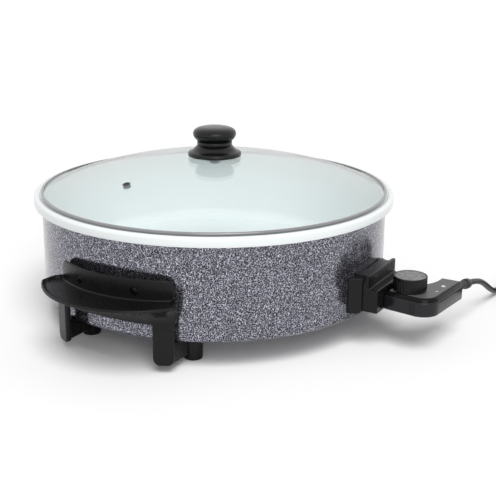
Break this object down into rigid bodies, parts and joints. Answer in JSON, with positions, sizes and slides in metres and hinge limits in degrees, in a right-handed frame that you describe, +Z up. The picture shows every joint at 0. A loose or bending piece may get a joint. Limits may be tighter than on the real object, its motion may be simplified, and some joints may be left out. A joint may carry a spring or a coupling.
{
  "type": "electric skillet",
  "caption": "Round deep electric skillet with domed glass lid, side handles on legs, and a plug-in thermostat probe with a coiled cord.",
  "frame": {"origin": "middle of the footprint on the table, with the free cord left out", "axes": "+Z up; the two handles point along -X and +X; the inlet and the thermostat probe face -Y"},
  "size_m": [0.551, 0.617, 0.2205],
  "materials": {
    "pan_ceramic": "glossy pale ceramic coating on cast aluminium",
    "hammered": "hammered black and silver paint",
    "plate_steel": "plated sheet",
    "shield_aluminium": "mill",
    "steel": "satin",
    "band_steel": "bright rolled band",
    "lid_glass": "clear tempered",
    "bakelite": "satin moulded phenolic",
    "probe_gloss": "gloss edge round a matte top",
    "dial_grey": "satin",
    "silicone": "matte",
    "brass": "satin",
    "porcelain": "unglazed ceramic",
    "lamp_clear": "clear frosted lens",
    "cord_black": "satin"
  },
  "bodies": {
    "base": {"heating_element": "steel", "sensor_pocket": "shield_aluminium", "inlet_bracket": "bakelite", "terminal_pin_near": "brass", "terminal_insulator_near": "porcelain", "inlet_screw_near": "steel", "terminal_pin_far": "brass", "terminal_insulator_far": "porcelain", "inlet_screw_far": "steel", "inner_pan": "pan_ceramic", "outer_shell": "hammered", "base_plate": "plate_steel", "heat_shield": "shield_aluminium", "center_stud": "steel", "center_nut": "steel", "element_clip_1": "steel", "element_clip_2": "steel", "element_clip_3": "steel", "handle_right": "bakelite", "handle_screw_right_1": "steel", "handle_screw_right_2": "steel", "foot_screw_right_1": "steel", "foot_screw_right_2": "steel", "handle_left": "bakelite", "handle_screw_left_1": "steel", "handle_screw_left_2": "steel", "foot_screw_left_1": "steel", "foot_screw_left_2": "steel"},
    "lid": {"lid_glass": "lid_glass", "lid_band": "band_steel", "vent_eyelet": "steel", "knob_base": "bakelite", "knob_cap": "bakelite", "knob_seal": "silicone", "knob_washer": "steel", "knob_screw": "steel"},
    "probe": {"probe_housing": "bakelite", "probe_cover": "probe_gloss", "probe_nose": "bakelite", "contact_sleeve_near": "brass", "contact_sleeve_far": "brass", "sensor_rod": "steel", "thermostat_frame": "porcelain", "bimetal_blade": "brass", "lamp_lens": "lamp_clear", "probe_screw_1": "steel", "probe_screw_2": "steel", "strain_relief": "cord_black", "cord_run": "cord_black", "cord_coil": "cord_black", "cord_tail": "cord_black", "cord_tie": "cord_black", "plug_body": "cord_black", "plug_pin_1": "brass", "plug_pin_2": "brass"},
    "dial": {"dial_knob": "bakelite", "dial_face": "dial_grey", "dial_shaft": "brass"}
  },
  "joints": [
    {"name": "lid_lift", "type": "slide", "parent": "base", "child": "lid", "axis": [0, 0, 1], "range_m": [0, 0.15]},
    {"name": "probe_pull", "type": "slide", "parent": "base", "child": "probe", "axis": [0, -1, 0], "range_m": [0, 0.1]},
    {"name": "dial_turn", "type": "hinge", "parent": "probe", "child": "dial", "pos_m": [0, -0.211, 0.064], "axis": [0, 0, 1], "range_deg": [-270, 0]}
  ]
}
